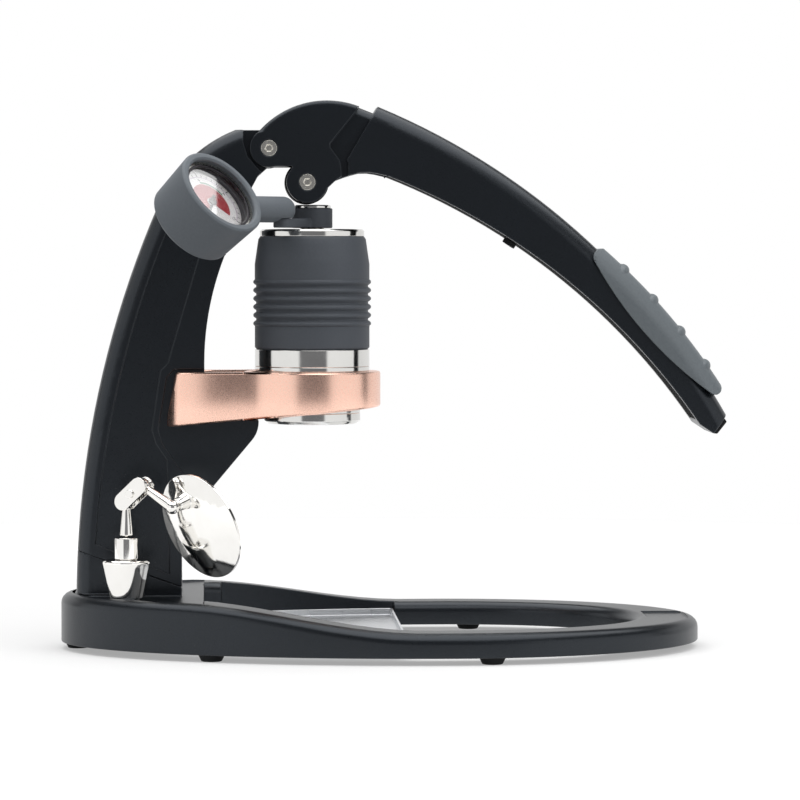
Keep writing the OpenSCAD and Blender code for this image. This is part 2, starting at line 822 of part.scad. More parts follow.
// Grip: a crescent-shaped saddle over the outer half of the handle, with finger ridges
grip_flatter = 37.4;
grip_r = handle_top_r - grip_flatter;
grip_mid_angle = 43;
grip_mid_turn = 40.9;
grip_c = handle_top_c + (handle_top_r + grip_t + 0.6) * [cos(grip_mid_turn), sin(grip_mid_turn)]
    - grip_r * [cos(grip_mid_angle), sin(grip_mid_angle)];
grip_half = handle_half + grip_side;
grip_round = handle_round + grip_side;

// Its two rounded ends, under the grip's top bend
grip_start_r = 4.4;
grip_start_angle = 48.7;
grip_start = grip_c + (grip_r - grip_start_r) * [cos(grip_start_angle), sin(grip_start_angle)];
grip_stop_r = 3.75;
grip_stop_angle = 33;
grip_stop = grip_c + (grip_r - grip_stop_r) * [cos(grip_stop_angle), sin(grip_stop_angle)];

// Its lower edge, an arc that runs into both ends
grip_low_r = 198.3;
grip_chord = norm(grip_stop - grip_start);
grip_along = (grip_stop - grip_start) / grip_chord;
grip_low_x = (pow(grip_low_r - grip_start_r, 2) - pow(grip_low_r - grip_stop_r, 2)
    + pow(grip_chord, 2)) / (2 * grip_chord);
grip_low_y = sqrt(pow(grip_low_r - grip_start_r, 2) - pow(grip_low_x, 2));
grip_low_c = grip_start + grip_low_x * grip_along + grip_low_y * [-grip_along[1], grip_along[0]];

ridge_count = 4;
ridge_first = 46.4;
ridge_step = 3.77;
ridge_sink = 3;

// Points on an arc, from one angle to another
function arc_points(centre, r, from, to, steps) =
    [for (k = [0:steps]) let (a = from + (to - from) * k / steps) centre + r * [cos(a), sin(a)]];

module grip_profile() {
    to_start = grip_start - grip_low_c;
    to_stop = grip_stop - grip_low_c;
    low_from = 360 + atan2(to_start[1], to_start[0]);
    low_to = 360 + atan2(to_stop[1], to_stop[0]);
    polygon(concat(
        [grip_start + 30 * [cos(grip_start_angle), sin(grip_start_angle)]],
        arc_points(grip_start, grip_start_r, grip_start_angle + 26, low_from - 12, 8),
        arc_points(grip_low_c, grip_low_r, low_from, low_to, 12),
        arc_points(grip_stop, grip_stop_r, low_to + 12, 360 + grip_stop_angle - 26, 8),
        [grip_stop + 30 * [cos(grip_stop_angle), sin(grip_stop_angle)]]));
}

// A ridge across the top that runs over both rounded edges and sinks into the sides
module grip_ridge(a) {
    at = grip_c + (grip_r - grip_round) * [cos(a), sin(a)];
    flat = grip_half - grip_round - 0.6;
    crest = grip_round - ridge_r / 2;
    translate([at[0], 0, at[1]]) rotate([0, -a, 0]) {
        translate([crest, flat, 0]) rotate([90, 0, 0]) cylinder(r = ridge_r, h = 2 * flat);
        for (s = [-1, 1])
            translate([ridge_sink, s * flat, 0])
                rotate_extrude(angle = 90, start = s > 0 ? 0 : -90)
                    translate([crest - ridge_sink, 0]) circle(ridge_r);
    }
}

module lever_grip() color(grip_grey) {
    difference() {
        union() {
            intersection() {
                bent_rail(grip_c, grip_r - 60, grip_r, grip_half, grip_round, 28, 56);
                side_plate(handle_w + 10) grip_profile();
            }
            for (i = [0:ridge_count - 1]) grip_ridge(ridge_first - i * ridge_step);
        }
        handle_outer(seat_fit);
    }
}

module lever_end_cap() color(rubber) {
    across = (tip_top - tip_low) / norm(tip_top - tip_low);
    out = [across[1], -across[0]];
    side_plate(handle_w - 8) polygon([tip_top - across + seat_fit * out,
        tip_top - 1.6 * across + end_cap_t * out, tip_low + 1.2 * across + end_cap_t * out,
        tip_low + seat_fit * out]);
}

// Pins: a headed barrel from the front and a screw in it from the back
socket_r = 1.9;
screw_d = 3.5;
screw_l = 11;
barrel_end = head_seat - 0.5;

module headed_pin(at) {
    difference() {
        union() {
            cross_bar(at, pin_head_d / 2, -head_seat - pin_head_t, -head_seat);
            cross_bar(at, pin_d / 2, -head_seat - pin_head_t / 2, barrel_end);
        }
        translate([at[0], -head_seat - pin_head_t - 1, at[1]]) rotate([-90, 0, 0])
            cylinder(r = socket_r, h = 2.5, $fn = 6);
        cross_bar(at, screw_d / 2 + seat_fit, barrel_end - screw_l - 1, post_half);
    }
}

module pin_screw(at) {
    difference() {
        union() {
            cross_bar(at, pin_head_d / 2, head_seat, head_seat + pin_head_t);
            cross_bar(at, screw_d / 2, barrel_end - screw_l, head_seat + pin_head_t / 2);
        }
        translate([at[0], head_seat + pin_head_t + 1, at[1]]) rotate([90, 0, 0])
            cylinder(r = socket_r, h = 2.5, $fn = 6);
    }
}

module pivot_pin() color(steel) headed_pin(pivot);
module pivot_screw() color(steel) pin_screw(pivot);
module press_pin() color(steel) headed_pin(press);
module press_screw() color(steel) pin_screw(press);

module press_roller() color(rubber) {
    difference() {
        cross_bar(press, roller_r, free_gap - cheek_gap_half, cheek_gap_half - free_gap);
        cross_bar(press, pin_d / 2 + run_fit, -post_half, post_half);
    }
}

// Ring that carries the portafilter, with two arms that straddle the post's web
module ring_plan() {
    blend_dx = sqrt(pow(ring_r + arm_blend_r, 2) - pow(arm_out + arm_blend_r, 2));
    touch = ring_r / (ring_r + arm_blend_r) * [-blend_dx, arm_out + arm_blend_r];
    circle(ring_r);
    for (s = [0, 1]) mirror([0, s]) {
        translate([arm_t - arm_l, arm_in]) square([arm_l - arm_t - blend_dx + 1, arm_t]);
        intersection() {
            translate([arm_t - arm_l, arm_in]) circle(arm_t);
            translate([-arm_l, arm_in]) square(arm_t);
        }
        difference() {
            polygon([[-blend_dx, arm_in], [-blend_dx, arm_out], touch, [touch[0], arm_in]]);
            translate([-blend_dx, arm_out + arm_blend_r]) circle(arm_blend_r);
        }
    }
}

module filter_ring() color(copper) {
    difference() {
        intersection() {
            translate([brew_x, 0, ring_low - 1]) linear_extrude(ring_h + 1) ring_plan();
            side_plate(2 * ring_r + 2) polygon([[arm_end - 1, ring_low], [arm_end + 4.5, ring_top + 1],
                [brew_x + ring_r + 1, ring_top + 1],
                [brew_x + ring_r + 1, ring_low + (arm_l + ring_r) * tan(ring_slope)]]);
        }
        translate([brew_x, 0, ring_low - 2]) cylinder(r = filter_r + free_gap, h = ring_h + 4);
    }
}

// Portafilter: a flanged cup with a screen seat and a screwed-on cap with the spout
screen_t = 0.6;
filter_floor = 2;
module portafilter() color(steel) {
    translate([brew_x, 0, 0]) rotate_extrude() difference() {
        union() {
            translate([0, filter_z]) square([filter_r, filter_l]);
            translate([0, ring_top]) square([foot_ring_r, flange_t]);
        }
        translate([-1, filter_z + filter_floor])
            square([basket_r + 1, filter_l + flange_t]);
        translate([-1, filter_z - 1]) square([basket_r - 2 + 1, filter_floor + 2]);
    }
}

module portafilter_cap() color(steel) {
    translate([brew_x, 0, spout_z]) rotate_extrude() polygon([
        [spout_r, 0], [filter_r - 1.5, 0], [filter_r, 1.5], [filter_r, spout_h],
        [basket_r - 2, spout_h], [spout_r + 3, 2.2], [spout_r, 2.2]]);
}

// Thin round screen with rings of holes
module screen(r, z, hole_r, pitch) {
    translate([brew_x, 0, z]) difference() {
        cylinder(r = r, h = screen_t);
        for (k = [0:floor((r - 3) / pitch)], i = [0:max(0, 6 * k - 1)])
            rotate(k == 0 ? 0 : 60 * i / k) translate([k * pitch, 0, -1])
                cylinder(r = hole_r, h = screen_t + 2, $fn = 24);
    }
}

module basket_screen() color(steel)
    screen(basket_r - seat_fit, filter_z + filter_floor, 1, 4.5);

// Screen that spreads the water: a disc in the mouth of the cylinder's foot
module dispersion_screen() color(steel)
    screen(bore_r - seat_fit, cyl_z, 1.2, 5);

module brew_cylinder() color(steel) {
    translate([brew_x, 0, 0]) rotate_extrude() difference() {
        union() {
            translate([bore_r, cyl_z]) square([cyl_r - bore_r, cyl_h]);
            translate([bore_r, cyl_z]) square([foot_ring_r - bore_r, foot_ring_h]);
            translate([bore_r, sleeve_top]) square([cyl_r + 0.4 - bore_r, cyl_rim_h]);
        }
        translate([cyl_r + 0.4, cyl_top]) rotate(45) square(1.4, center = true);
        translate([foot_ring_r - 2.4, cyl_z - 1]) square([1.6 + 2 * seat_fit, 2]);
    }
}

// Seal between the cylinder's foot and the portafilter's flange
module cylinder_seal() color(rubber)
    brew_ring(foot_ring_r - 2.4 + seat_fit, foot_ring_r - 0.8 + seat_fit, cyl_z, 1 - seat_fit);

rib_proud = 0.8;
module cylinder_sleeve() color(silicone) {
    h = sleeve_top - sleeve_z;
    translate([brew_x, 0, sleeve_z]) rotate_extrude() difference() {
        union() {
            polygon([[cyl_r + seat_fit, 0], [sleeve_r - 1, 0], [sleeve_r, 1],
                [sleeve_r, h - sleeve_taper_h],
                [sleeve_top_r, h - 1.5], [sleeve_top_r - 1, h], [cyl_r + seat_fit, h]]);
            for (i = [0:rib_count - 1])
                translate([sleeve_r - 0.4, rib_from + i * rib_pitch]) circle(rib_proud + 0.4, $fn = 32);
        }
        for (i = [0:rib_count - 2])
            translate([sleeve_r + 0.2, rib_from + (i + 0.5) * rib_pitch]) circle(0.9, $fn = 32);
    }
}

module piston() color(steel) {
    groove = seal_d * 0.8;
    translate([brew_x, 0, piston_z]) rotate_extrude() difference() {
        union() {
            square([piston_r, piston_h]);
            square([stem_d / 2 + 4, piston_h + 5]);
        }
        for (k = [0.27, 0.73])
            translate([piston_r - groove, k * piston_h - seal_d / 2]) square([groove + 1, seal_d]);
        translate([-1, piston_h - 3]) square([stem_d / 2 + seat_fit + 1, 20]);
    }
}

module piston_seals() color(rubber) {
    groove = seal_d * 0.8;
    for (k = [0.27, 0.73])
        translate([brew_x, 0, piston_z + k * piston_h]) rotate_extrude() intersection() {
            translate([piston_r - groove / 2, 0]) circle(seal_d / 2 - seat_fit, $fn = 32);
            translate([piston_r - groove + seat_fit, -seal_d]) square([groove - seat_fit, 2 * seal_d]);
        }
}

module plunger_stem() color(steel) {
    from = piston_z + piston_h - 3;
    translate([brew_x, 0, from]) cylinder(d = stem_d, h = collar_top_z - from);
}

module stem_cap() color(steel) {
    translate([brew_x, 0, collar_top_z]) rotate_extrude()
        polygon([[0, 0], [collar_r - 0.8, 0], [collar_r - 0.8, cap_t - 0.5],
            [collar_r - 1.3, cap_t], [0, cap_t]]);
}

// Collar fixed on the stem, with a low bar and a spigot that the gauge's elbow turns on
bar_w = 9;
bar_h = 4.6;
spigot_r = 2.5;
module stem_collar() color(silicone) {
    reach = norm([elbow_back, elbow_side]);
    heading = atan2(-elbow_side, -elbow_back);
    difference() {
        union() {
            translate([brew_x, 0, collar_z]) cylinder(r = collar_r, h = collar_h - seat_fit);
            translate([brew_x, 0, collar_z]) rotate(heading)
                translate([0, -bar_w / 2, 0]) cube([reach, bar_w, bar_h]);
            translate([elbow[0], elbow[1], collar_z]) cylinder(d = bar_w, h = bar_h);
            translate([elbow[0], elbow[1], collar_z]) cylinder(r = spigot_r, h = elbow_up);
        }
        translate([brew_x, 0, collar_z - 1])
            cylinder(r = stem_d / 2 + seat_fit, h = collar_h + 2);
    }
}

// Gauge frame: z out of the dial, y towards the elbow
module at_gauge() {
    translate(gauge_c) rotate([0, 90 - gauge_tilt, gauge_turn]) children();
}

socket_neck_r = 2.5;
socket_in = 12;
arm_start = boot_r + 0.5;

// Tube from the elbow to the boot, bored for the gauge's neck
module gauge_arm() color(silicone) {
    difference() {
        union() {
            translate([elbow[0], elbow[1], collar_z + bar_h + seat_fit])
                cylinder(d = bar_w, h = elbow_up - bar_h - seat_fit);
            at_gauge() translate([0, gauge_arm_l, 0]) {
                sphere(gauge_arm_r);
                rotate([90, 0, 0]) cylinder(r = gauge_arm_r, h = gauge_arm_l - arm_start);
            }
        }
        at_gauge() rotate([-90, 0, 0])
            cylinder(r = socket_neck_r + seat_fit, h = arm_start + socket_in + seat_fit);
        translate([elbow[0], elbow[1], collar_z]) {
            cylinder(r = spigot_r + run_fit, h = elbow_up + seat_fit);
            cylinder(r = gauge_arm_r + 1, h = bar_h + seat_fit);
        }
    }
}

case_back = -case_h / 2;
lens_z = case_h / 2 - lens_t - 1.2;
dial_z = lens_z - 4.5;

module gauge_boot() color(silicone) {
    at_gauge() difference() {
        rotate_extrude() difference() {
            polygon([[0, case_back - boot_back], [boot_r - 3, case_back - boot_back],
                [boot_r - 1.6, case_back - boot_back + 1.4], [boot_r, case_h / 2 + boot_lip],
                [0, case_h / 2 + boot_lip]]);
            translate([-1, case_back - seat_fit]) square([case_r + seat_fit + 1, case_h + seat_fit + 1.5]);
            translate([-1, 0]) square([case_r - 0.6 + 1, case_h + boot_lip]);
            translate([boot_r, case_h / 2 + boot_lip]) rotate(45) square(1.4, center = true);
            translate([case_r - 0.6, case_h / 2 + boot_lip]) rotate(45) square(1.4, center = true);
        }
        rotate([-90, 0, 0]) cylinder(r = socket_neck_r + 2 * seat_fit, h = 2 * boot_r);
    }
}

module gauge_case() color(steel) {
    at_gauge() difference() {
        translate([0, 0, case_back]) cylinder(r = case_r, h = case_h);
        translate([0, 0, case_back + case_wall]) cylinder(r = case_r - case_wall, h = case_h);
        rotate([-90, 0, 0]) cylinder(r = socket_neck_r + seat_fit, h = 2 * boot_r);
    }
}

// Threaded neck, block and bent pressure tube
tube_r = 1.8;
module gauge_socket() color("#b08d57") {
    block = 2 * socket_neck_r;
    at_gauge() {
        rotate([-90, 0, 0]) translate([0, 0, bourdon_r])
            cylinder(r = socket_neck_r, h = arm_start + socket_in - bourdon_r);
        translate([-block / 2, bourdon_r - 4, -block / 2]) cube([block, 7, block]);
        rotate_extrude(angle = 245, start = 100) translate([bourdon_r, 0]) circle(tube_r, $fn = 24);
    }
}

// Post that the needle's spindle turns in, tied to the block
spindle_r = 0.9;
spindle_low = case_back + case_wall + 1;
module gauge_movement() color("#b08d57") {
    at_gauge() {
        difference() {
            union() {
                translate([0, 0, case_back + case_wall + seat_fit])
                    cylinder(r = 4, h = dial_z - case_back - case_wall - 2 * seat_fit);
                translate([-2, 0, -2]) cube([4, bourdon_r - 4 - seat_fit, 4]);
            }
            translate([0, 0, spindle_low - seat_fit]) cylinder(r = spindle_r + run_fit, h = case_h);
        }
    }
}

module gauge_dial() color("white") {
    at_gauge() translate([0, 0, dial_z]) difference() {
        cylinder(r = case_r - case_wall - seat_fit, h = dial_t);
        translate([0, 0, -1]) cylinder(r = spindle_r + 0.4, h = dial_t + 2);
    }
}

// Needle with its spindle; it rests on the dial's zero, down to the left of the neck
needle_rest = 315;
needle_t = 0.6;
needle_z = dial_z + dial_t + 0.8;
module gauge_needle() color("black") {
    at_gauge() {
        translate([0, 0, spindle_low]) cylinder(r = spindle_r, h = needle_z + needle_t - spindle_low);
        translate([0, 0, needle_z]) {
            cylinder(r = 2.2, h = needle_t);
            rotate(needle_rest) linear_extrude(needle_t)
                polygon([[-5, -0.9], [-5, 0.9], [needle_l, 0.25], [needle_l, -0.25]]);
        }
    }
}

module gauge_lens() color([0.85, 0.9, 0.95, 0.35]) {
    at_gauge() translate([0, 0, lens_z]) cylinder(r = case_r - case_wall - seat_fit, h = lens_t);
}

// Snap ring that holds the lens, and the ring under it that carries the lens over the dial
module gauge_bezel() color(steel) {
    out = case_r - case_wall - seat_fit;
    at_gauge() {
        translate([0, 0, lens_z + lens_t]) difference() {
            cylinder(r = out, h = 1.2);
            translate([0, 0, -1]) cylinder(r = out - 1.2, h = 4);
        }
        translate([0, 0, dial_z + dial_t]) difference() {
            cylinder(r = out, h = lens_z - dial_z - dial_t);
            translate([0, 0, -1]) cylinder(r = out - 1, h = 9);
        }
    }
}

// Mirror frame: the foot's axis at the origin, x along the arm
module at_mirror() {
    translate([mirror_x, mirror_y, 0]) rotate(link_turn) children();
}

magnet_r = magnet_low_d / 2 - 1.5;
magnet_t = 4;
module mirror_foot() color(steel) {
    at_mirror() translate([0, 0, magnet_z]) difference() {
        rotate_extrude() polygon([[0, 0], [magnet_low_d / 2 - 1, 0], [magnet_low_d / 2, 1.5],
            [magnet_top_d / 2, magnet_h - 2], [magnet_top_d / 2, magnet_h - 0.8],
            [magnet_top_d / 2 - 0.8, magnet_h], [0, magnet_h]]);
        translate([0, 0, -1]) cylinder(r = magnet_r + seat_fit, h = magnet_t + seat_fit + 1);
    }
}

module mirror_magnet() color("#77787a") {
    at_mirror() translate([0, 0, magnet_z]) cylinder(r = magnet_r, h = magnet_t);
}

module mirror_nut() color(steel) {
    at_mirror() translate([0, 0, nut_z]) rotate_extrude()
        polygon([[0, 0], [5.6, 0], [6, 0.4], [6, nut_h - 0.4], [5.6, nut_h], [0, nut_h]]);
}

// A turned stem with a ball at its start, widening along its length to a round end
module ball_stem(r1, r2, len, end_r) {
    rotate_extrude() intersection() {
        union() {
            circle(ball_r);
            polygon([[0, 0], [r1, 0], [r2, len], [0, len]]);
            translate([0, len]) circle(end_r);
        }
        translate([0, -2 * ball_r]) square([2 * ball_r, len + 4 * ball_r]);
    }
}

// Tapered stem under the lower ball
module mirror_stem() color(steel) {
    at_mirror() translate(ball_low) rotate([180, 0, 0]) ball_stem(1.7, 3.4, lower_stem_l - 1, 1);
}

// Two cupped plates that clamp both balls
plate_t = 1.8;
plate_half = 4.4;
cup_r = ball_r + free_gap / 3;
plate_gap = ball_r * 0.62;
module at_link() {
    at_mirror() translate(ball_low) rotate([0, -link_rise, 0]) children();
}
module mirror_link_plates() color(steel) {
    at_link() difference() {
        for (s = [-1, 1]) translate([0, s * (plate_gap + plate_t / 2), 0]) side_plate(plate_t) {
            for (x = [0, link_l]) translate([x, 0]) circle(plate_half);
            translate([0, -plate_half]) square([link_l, 2 * plate_half]);
        }
        for (x = [0, link_l]) translate([x, 0, 0]) sphere(cup_r);
        translate([link_l / 2, plate_gap + plate_t + 1, 0]) rotate([90, 0, 0])
            cylinder(r = 1.2 + seat_fit, h = 2 * plate_gap + 2 * plate_t + 2);
    }
}

module mirror_link_screw() color(steel) {
    at_link() translate([link_l / 2, 0, 0]) rotate([90, 0, 0]) {
        translate([0, 0, -plate_gap - plate_t]) cylinder(r = 1.2, h = 2 * plate_gap + 2 * plate_t + 0.5);
        translate([0, 0, plate_gap + plate_t + seat_fit]) cylinder(r = 2.2, h = 1);
    }
}

// Rod from the upper ball, widening to the mirror's nub
rod_end_r = 3.4;
module mirror_rod() color(steel) {
    at_mirror() translate(ball_high) rotate([0, 90 + rod_fall, 0])
        ball_stem(1.8, rod_end_r - 0.3, rod_l, rod_end_r);
}

// Mirror frame: z out of the back, x towards the nub, at the back's centre
module at_disc() {
    at_mirror() translate(rod_end) rotate(-link_turn)
        rotate([0, 90 + mirror_tilt, mirror_turn]) rotate(nub_roll)
            translate([-nub_out, 0, -nub_h]) children();
}
nub_roll = 195.8;

// Shallow dished shell with the nub that the rod is soldered to
glass_t = 1.2;
module mirror_shell() color(steel) {
    at_disc() difference() {
        union() {
            rotate_extrude() polygon([[0, -mirror_t], [mirror_r, -mirror_t], [mirror_r, -mirror_t + 1.4],
                [mirror_r * 0.7, -0.6], [mirror_r * 0.4, 0], [0, 0]]);
            translate([nub_out, 0, -1.5]) cylinder(r1 = 4.4, r2 = 3.2, h = nub_h - 1.5);
        }
        translate([0, 0, -mirror_t - 1]) cylinder(r = mirror_r - 1, h = glass_t + 1);
        translate([nub_out, 0, nub_h]) sphere(rod_end_r + seat_fit);
    }
}

module mirror_glass() color("#d8dde0") {
    at_disc() translate([0, 0, -mirror_t]) cylinder(r = mirror_r - 1 - seat_fit, h = glass_t - seat_fit);
}

base_frame();
base_feet();
drip_tray();
post();
post_stud();
post_hand_nut();
pivot_bush();
lever_head();
lever_handle();
lever_cover();
lever_grip();
lever_bumper();
lever_end_cap();
pivot_pin();
pivot_screw();
press_pin();
press_screw();
press_roller();
filter_ring();
portafilter();
portafilter_cap();
basket_screen();
dispersion_screen();
brew_cylinder();
cylinder_sleeve();
cylinder_seal();
piston();
piston_seals();
plunger_stem();
stem_cap();
stem_collar();
gauge_arm();
gauge_boot();
gauge_case();
gauge_socket();
gauge_movement();
gauge_dial();
gauge_needle();
gauge_lens();
gauge_bezel();
mirror_foot();
mirror_magnet();
mirror_nut();
mirror_stem();
mirror_link_plates();
mirror_link_screw();
mirror_rod();
mirror_shell();
mirror_glass();
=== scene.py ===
"""Looks of a manual lever espresso maker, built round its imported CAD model."""

import json
import math

import bpy
from mathutils import Matrix, Vector

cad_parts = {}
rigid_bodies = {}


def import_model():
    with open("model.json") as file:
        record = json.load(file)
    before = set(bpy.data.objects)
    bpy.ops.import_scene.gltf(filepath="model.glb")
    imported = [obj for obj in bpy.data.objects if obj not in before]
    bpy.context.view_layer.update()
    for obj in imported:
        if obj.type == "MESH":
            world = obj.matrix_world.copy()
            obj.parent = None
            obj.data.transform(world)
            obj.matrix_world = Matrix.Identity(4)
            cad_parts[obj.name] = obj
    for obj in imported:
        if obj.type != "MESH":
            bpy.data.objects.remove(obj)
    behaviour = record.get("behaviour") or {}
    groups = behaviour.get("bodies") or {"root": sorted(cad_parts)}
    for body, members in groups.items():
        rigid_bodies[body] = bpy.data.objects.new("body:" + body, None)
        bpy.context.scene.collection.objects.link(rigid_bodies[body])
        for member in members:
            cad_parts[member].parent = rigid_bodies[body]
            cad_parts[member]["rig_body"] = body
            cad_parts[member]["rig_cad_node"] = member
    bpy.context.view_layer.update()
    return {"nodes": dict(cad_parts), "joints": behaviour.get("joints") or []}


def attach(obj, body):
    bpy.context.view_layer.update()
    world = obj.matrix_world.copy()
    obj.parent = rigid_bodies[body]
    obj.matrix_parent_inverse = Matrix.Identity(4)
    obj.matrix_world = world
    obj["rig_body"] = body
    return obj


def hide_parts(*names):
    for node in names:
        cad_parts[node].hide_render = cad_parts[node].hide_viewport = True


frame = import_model()
scene = bpy.context.scene
scene.view_settings.view_transform = "Standard"

# Studio: a white table top under one broad overhead soft box, with a soft box on each side. The
# room behind the camera and the ceiling are dim, which polished metal shows as dark bands.
mm = 0.001
eye = Vector((-93.5, -1896.1, 200)) * mm
aim = Vector((2.5, 0, 125)) * mm
lens_length, sight_end = 168.64, 20000
table_centre, table_radius, table_sides = (0, 150, -0.02), 750, 96
table_matte, pure_white = "#bababa", "#ffffff"
table_glow, table_glow_reach = (0.36, 0.66), (300, 700)
ambient = 0.22
top_box_place, top_box_size = (-52, -74, 1300), (2200, 2200)
top_box_turn, top_box_power = -24, 33
side_box_size = 900
side_boxes = {
    "soft_box_left": ((-1100, -900, 800), 3.5),
    "soft_box_right": ((1100, -900, 800), 9),
}
ceiling, ceiling_start = "#39393b", (0.44, 0.5)
# The walls' colours, each at its angle round from the camera's side
room = [
    (-180, "#f4f4f4"), (-125, "#f4f4f4"), (-123, "#4a3a36"), (-115, "#4a3a36"), (-113, "#ffffff"),
    (-29, "#ffffff"), (-25, "#7c7c7e"), (26, "#7c7c7e"), (30, "#ffffff"), (94, "#fafafa"),
    (96, "#4a4a4c"), (104, "#4a4a4c"), (106, "#f0f0f0"), (180, "#f4f4f4"),
]


def tint(code):
    """The linear colour of an sRGB hex code."""
    parts = [int(code[i:i + 2], 16) / 255 for i in (1, 3, 5)]
    return [p / 12.92 if p <= 0.04045 else ((p + 0.055) / 1.055) ** 2.4 for p in parts] + [1]


def fill(node, inputs):
    """Fills a node's inputs, each with a plain value or with a link from a node and its output."""
    for name, value in inputs.items():
        if isinstance(value, tuple):
            node.id_data.links.new(value[0].outputs[value[1]], node.inputs[name])
        else:
            node.inputs[name].default_value = value


def add(tree, kind, inputs=None, **settings):
    """Adds one node with its settings and inputs."""
    made = tree.nodes.new("ShaderNode" + kind)
    for name, value in settings.items():
        setattr(made, name, value)
    fill(made, inputs or {})
    return made


def ramp(node, stops):
    """Sets a colour ramp's stops, each a place from 0 to 1 and a hex code."""
    marks = node.color_ramp.elements
    while len(marks) < len(stops):
        marks.new(0.5)
    for mark, (where, code) in zip(marks, stops):
        mark.position, mark.color = where, tint(code)
    return node


world = bpy.data.worlds.new("white_room")
world.use_nodes = True
scene.world = world
tree = world.node_tree
tree.nodes.clear()
look = add(tree, "TexCoord")
axes = add(tree, "SeparateXYZ", {0: (look, "Generated")})
ahead = add(tree, "Math", {0: (axes, "Y"), 1: -1.0}, operation="MULTIPLY")
turn = add(tree, "Math", {0: (axes, "X"), 1: (ahead, 0)}, operation="ARCTAN2")
share = add(tree, "MapRange", {0: (turn, 0), 1: -math.pi, 2: math.pi})
walls = ramp(add(tree, "ValToRGB", {0: (share, 0)}), [((a + 180) / 360, c) for a, c in room])
height = add(tree, "MapRange", {0: (axes, "Z"), 1: ceiling_start[0], 2: ceiling_start[1]})
dome = add(tree, "Mix", {0: (height, 0), 6: (walls, 0), 7: tint(ceiling)}, data_type="RGBA")
path = add(tree, "LightPath")
mirrored = add(tree, "Math", {0: (path, "Is Glossy Ray"), 1: (path, "Is Transmission Ray")},
               operation="MAXIMUM")
plain = add(tree, "Background", {0: tint(pure_white), 1: ambient})
shown = add(tree, "Background", {0: (dome, 2), 1: 1.0})
white = add(tree, "Background", {0: tint(pure_white), 1: 1.0})
inner = add(tree, "MixShader", {0: (mirrored, 0), 1: (plain, 0), 2: (shown, 0)})
outer = add(tree, "MixShader", {0: (path, "Is Camera Ray"), 1: (inner, 0), 2: (white, 0)})
add(tree, "OutputWorld", {0: (outer, 0)})

bpy.ops.object.select_all(action="DESELECT")
bpy.ops.mesh.primitive_circle_add(vertices=table_sides, radius=table_radius * mm,
                                  fill_type="NGON", location=Vector(table_centre) * mm)
table = bpy.context.object
table.name = "table_top"
bpy.ops.object.transform_apply(location=True)
# White laminate is matt. Seen by the camera or in metal it also glows, up to the room's white
laminate = bpy.data.materials.new("white_laminate")
laminate.use_nodes = True
tree = laminate.node_tree
tree.nodes.clear()
path = add(tree, "LightPath")
mirrored = add(tree, "Math", {0: (path, "Is Glossy Ray"), 1: (path, "Is Transmission Ray")},
               operation="MAXIMUM")
seen = add(tree, "Math", {0: (path, "Is Camera Ray"), 1: (mirrored, 0)}, operation="MAXIMUM")
spread = add(tree, "VectorMath", {0: (add(tree, "TexCoord"), "Object")}, operation="LENGTH")
near, far = (reach * mm for reach in table_glow_reach)
strength = add(tree, "MapRange", {0: (spread, 1), 1: near, 2: far,
                                  3: table_glow[0], 4: table_glow[1]})
level = add(tree, "Math", {0: (seen, 0), 1: (strength, 0)}, operation="MULTIPLY")
glow = add(tree, "Emission", {0: tint(pure_white), 1: (level, 0)})
matte = add(tree, "BsdfDiffuse", {0: tint(table_matte)})
both = add(tree, "AddShader", {0: (matte, 0), 1: (glow, 0)})
add(tree, "OutputMaterial", {0: (both, 0)})
table.data.materials.append(laminate)

for name, (spot, power) in side_boxes.items():
    bpy.ops.object.light_add(type="AREA", location=Vector(spot) * mm)
    lamp = bpy.context.object
    lamp.name = name
    lamp.rotation_euler = (aim - lamp.location).to_track_quat("-Z", "Y").to_euler()
    lamp.data.size = side_box_size * mm
    lamp.data.energy = power
    lamp.visible_glossy = False
bpy.ops.object.light_add(type="AREA", location=Vector(top_box_place) * mm)
lamp = bpy.context.object
lamp.name = "soft_box_top"
lamp.rotation_euler.z = math.radians(top_box_turn)
lamp.data.shape = "RECTANGLE"
lamp.data.size, lamp.data.size_y = top_box_size[0] * mm, top_box_size[1] * mm
lamp.data.energy = top_box_power

bpy.ops.object.camera_add(location=eye)
camera = bpy.context.object
camera.rotation_euler = (aim - eye).to_track_quat("-Z", "Y").to_euler()
camera.data.lens = lens_length
camera.data.clip_end = sight_end * mm
scene.camera = camera

# Base: a heavy loop with a thick round rim, cast in iron and coated with baked black powder. The
# post stands on the foot at its rear.
coat_colours, coat_shine_tint = ("#090b0e", "#0f1317"), "#d6dee8"
coat_grain, coat_cloud = 0.5, 35
coat_gloss, coat_shine = (0.27, 0.36), 0.68
coat_relief, coat_depth = 0.25, 0.04
weld, flat_angle, crease_angle, broad_steps = 0.002, 0.2, 40, 6
# Most of a noise pattern lies between these two values
noise_middle = (0.3, 0.7)


def start_finish(name):
    """An empty material with its main shader and the piece's own coordinates."""
    finish = bpy.data.materials.new(name)
    finish.use_nodes = True
    made = finish.node_tree
    made.nodes.clear()
    shader = add(made, "BsdfPrincipled")
    add(made, "OutputMaterial", {0: (shader, 0)})
    return finish, made, shader, (add(made, "TexCoord"), "Object")


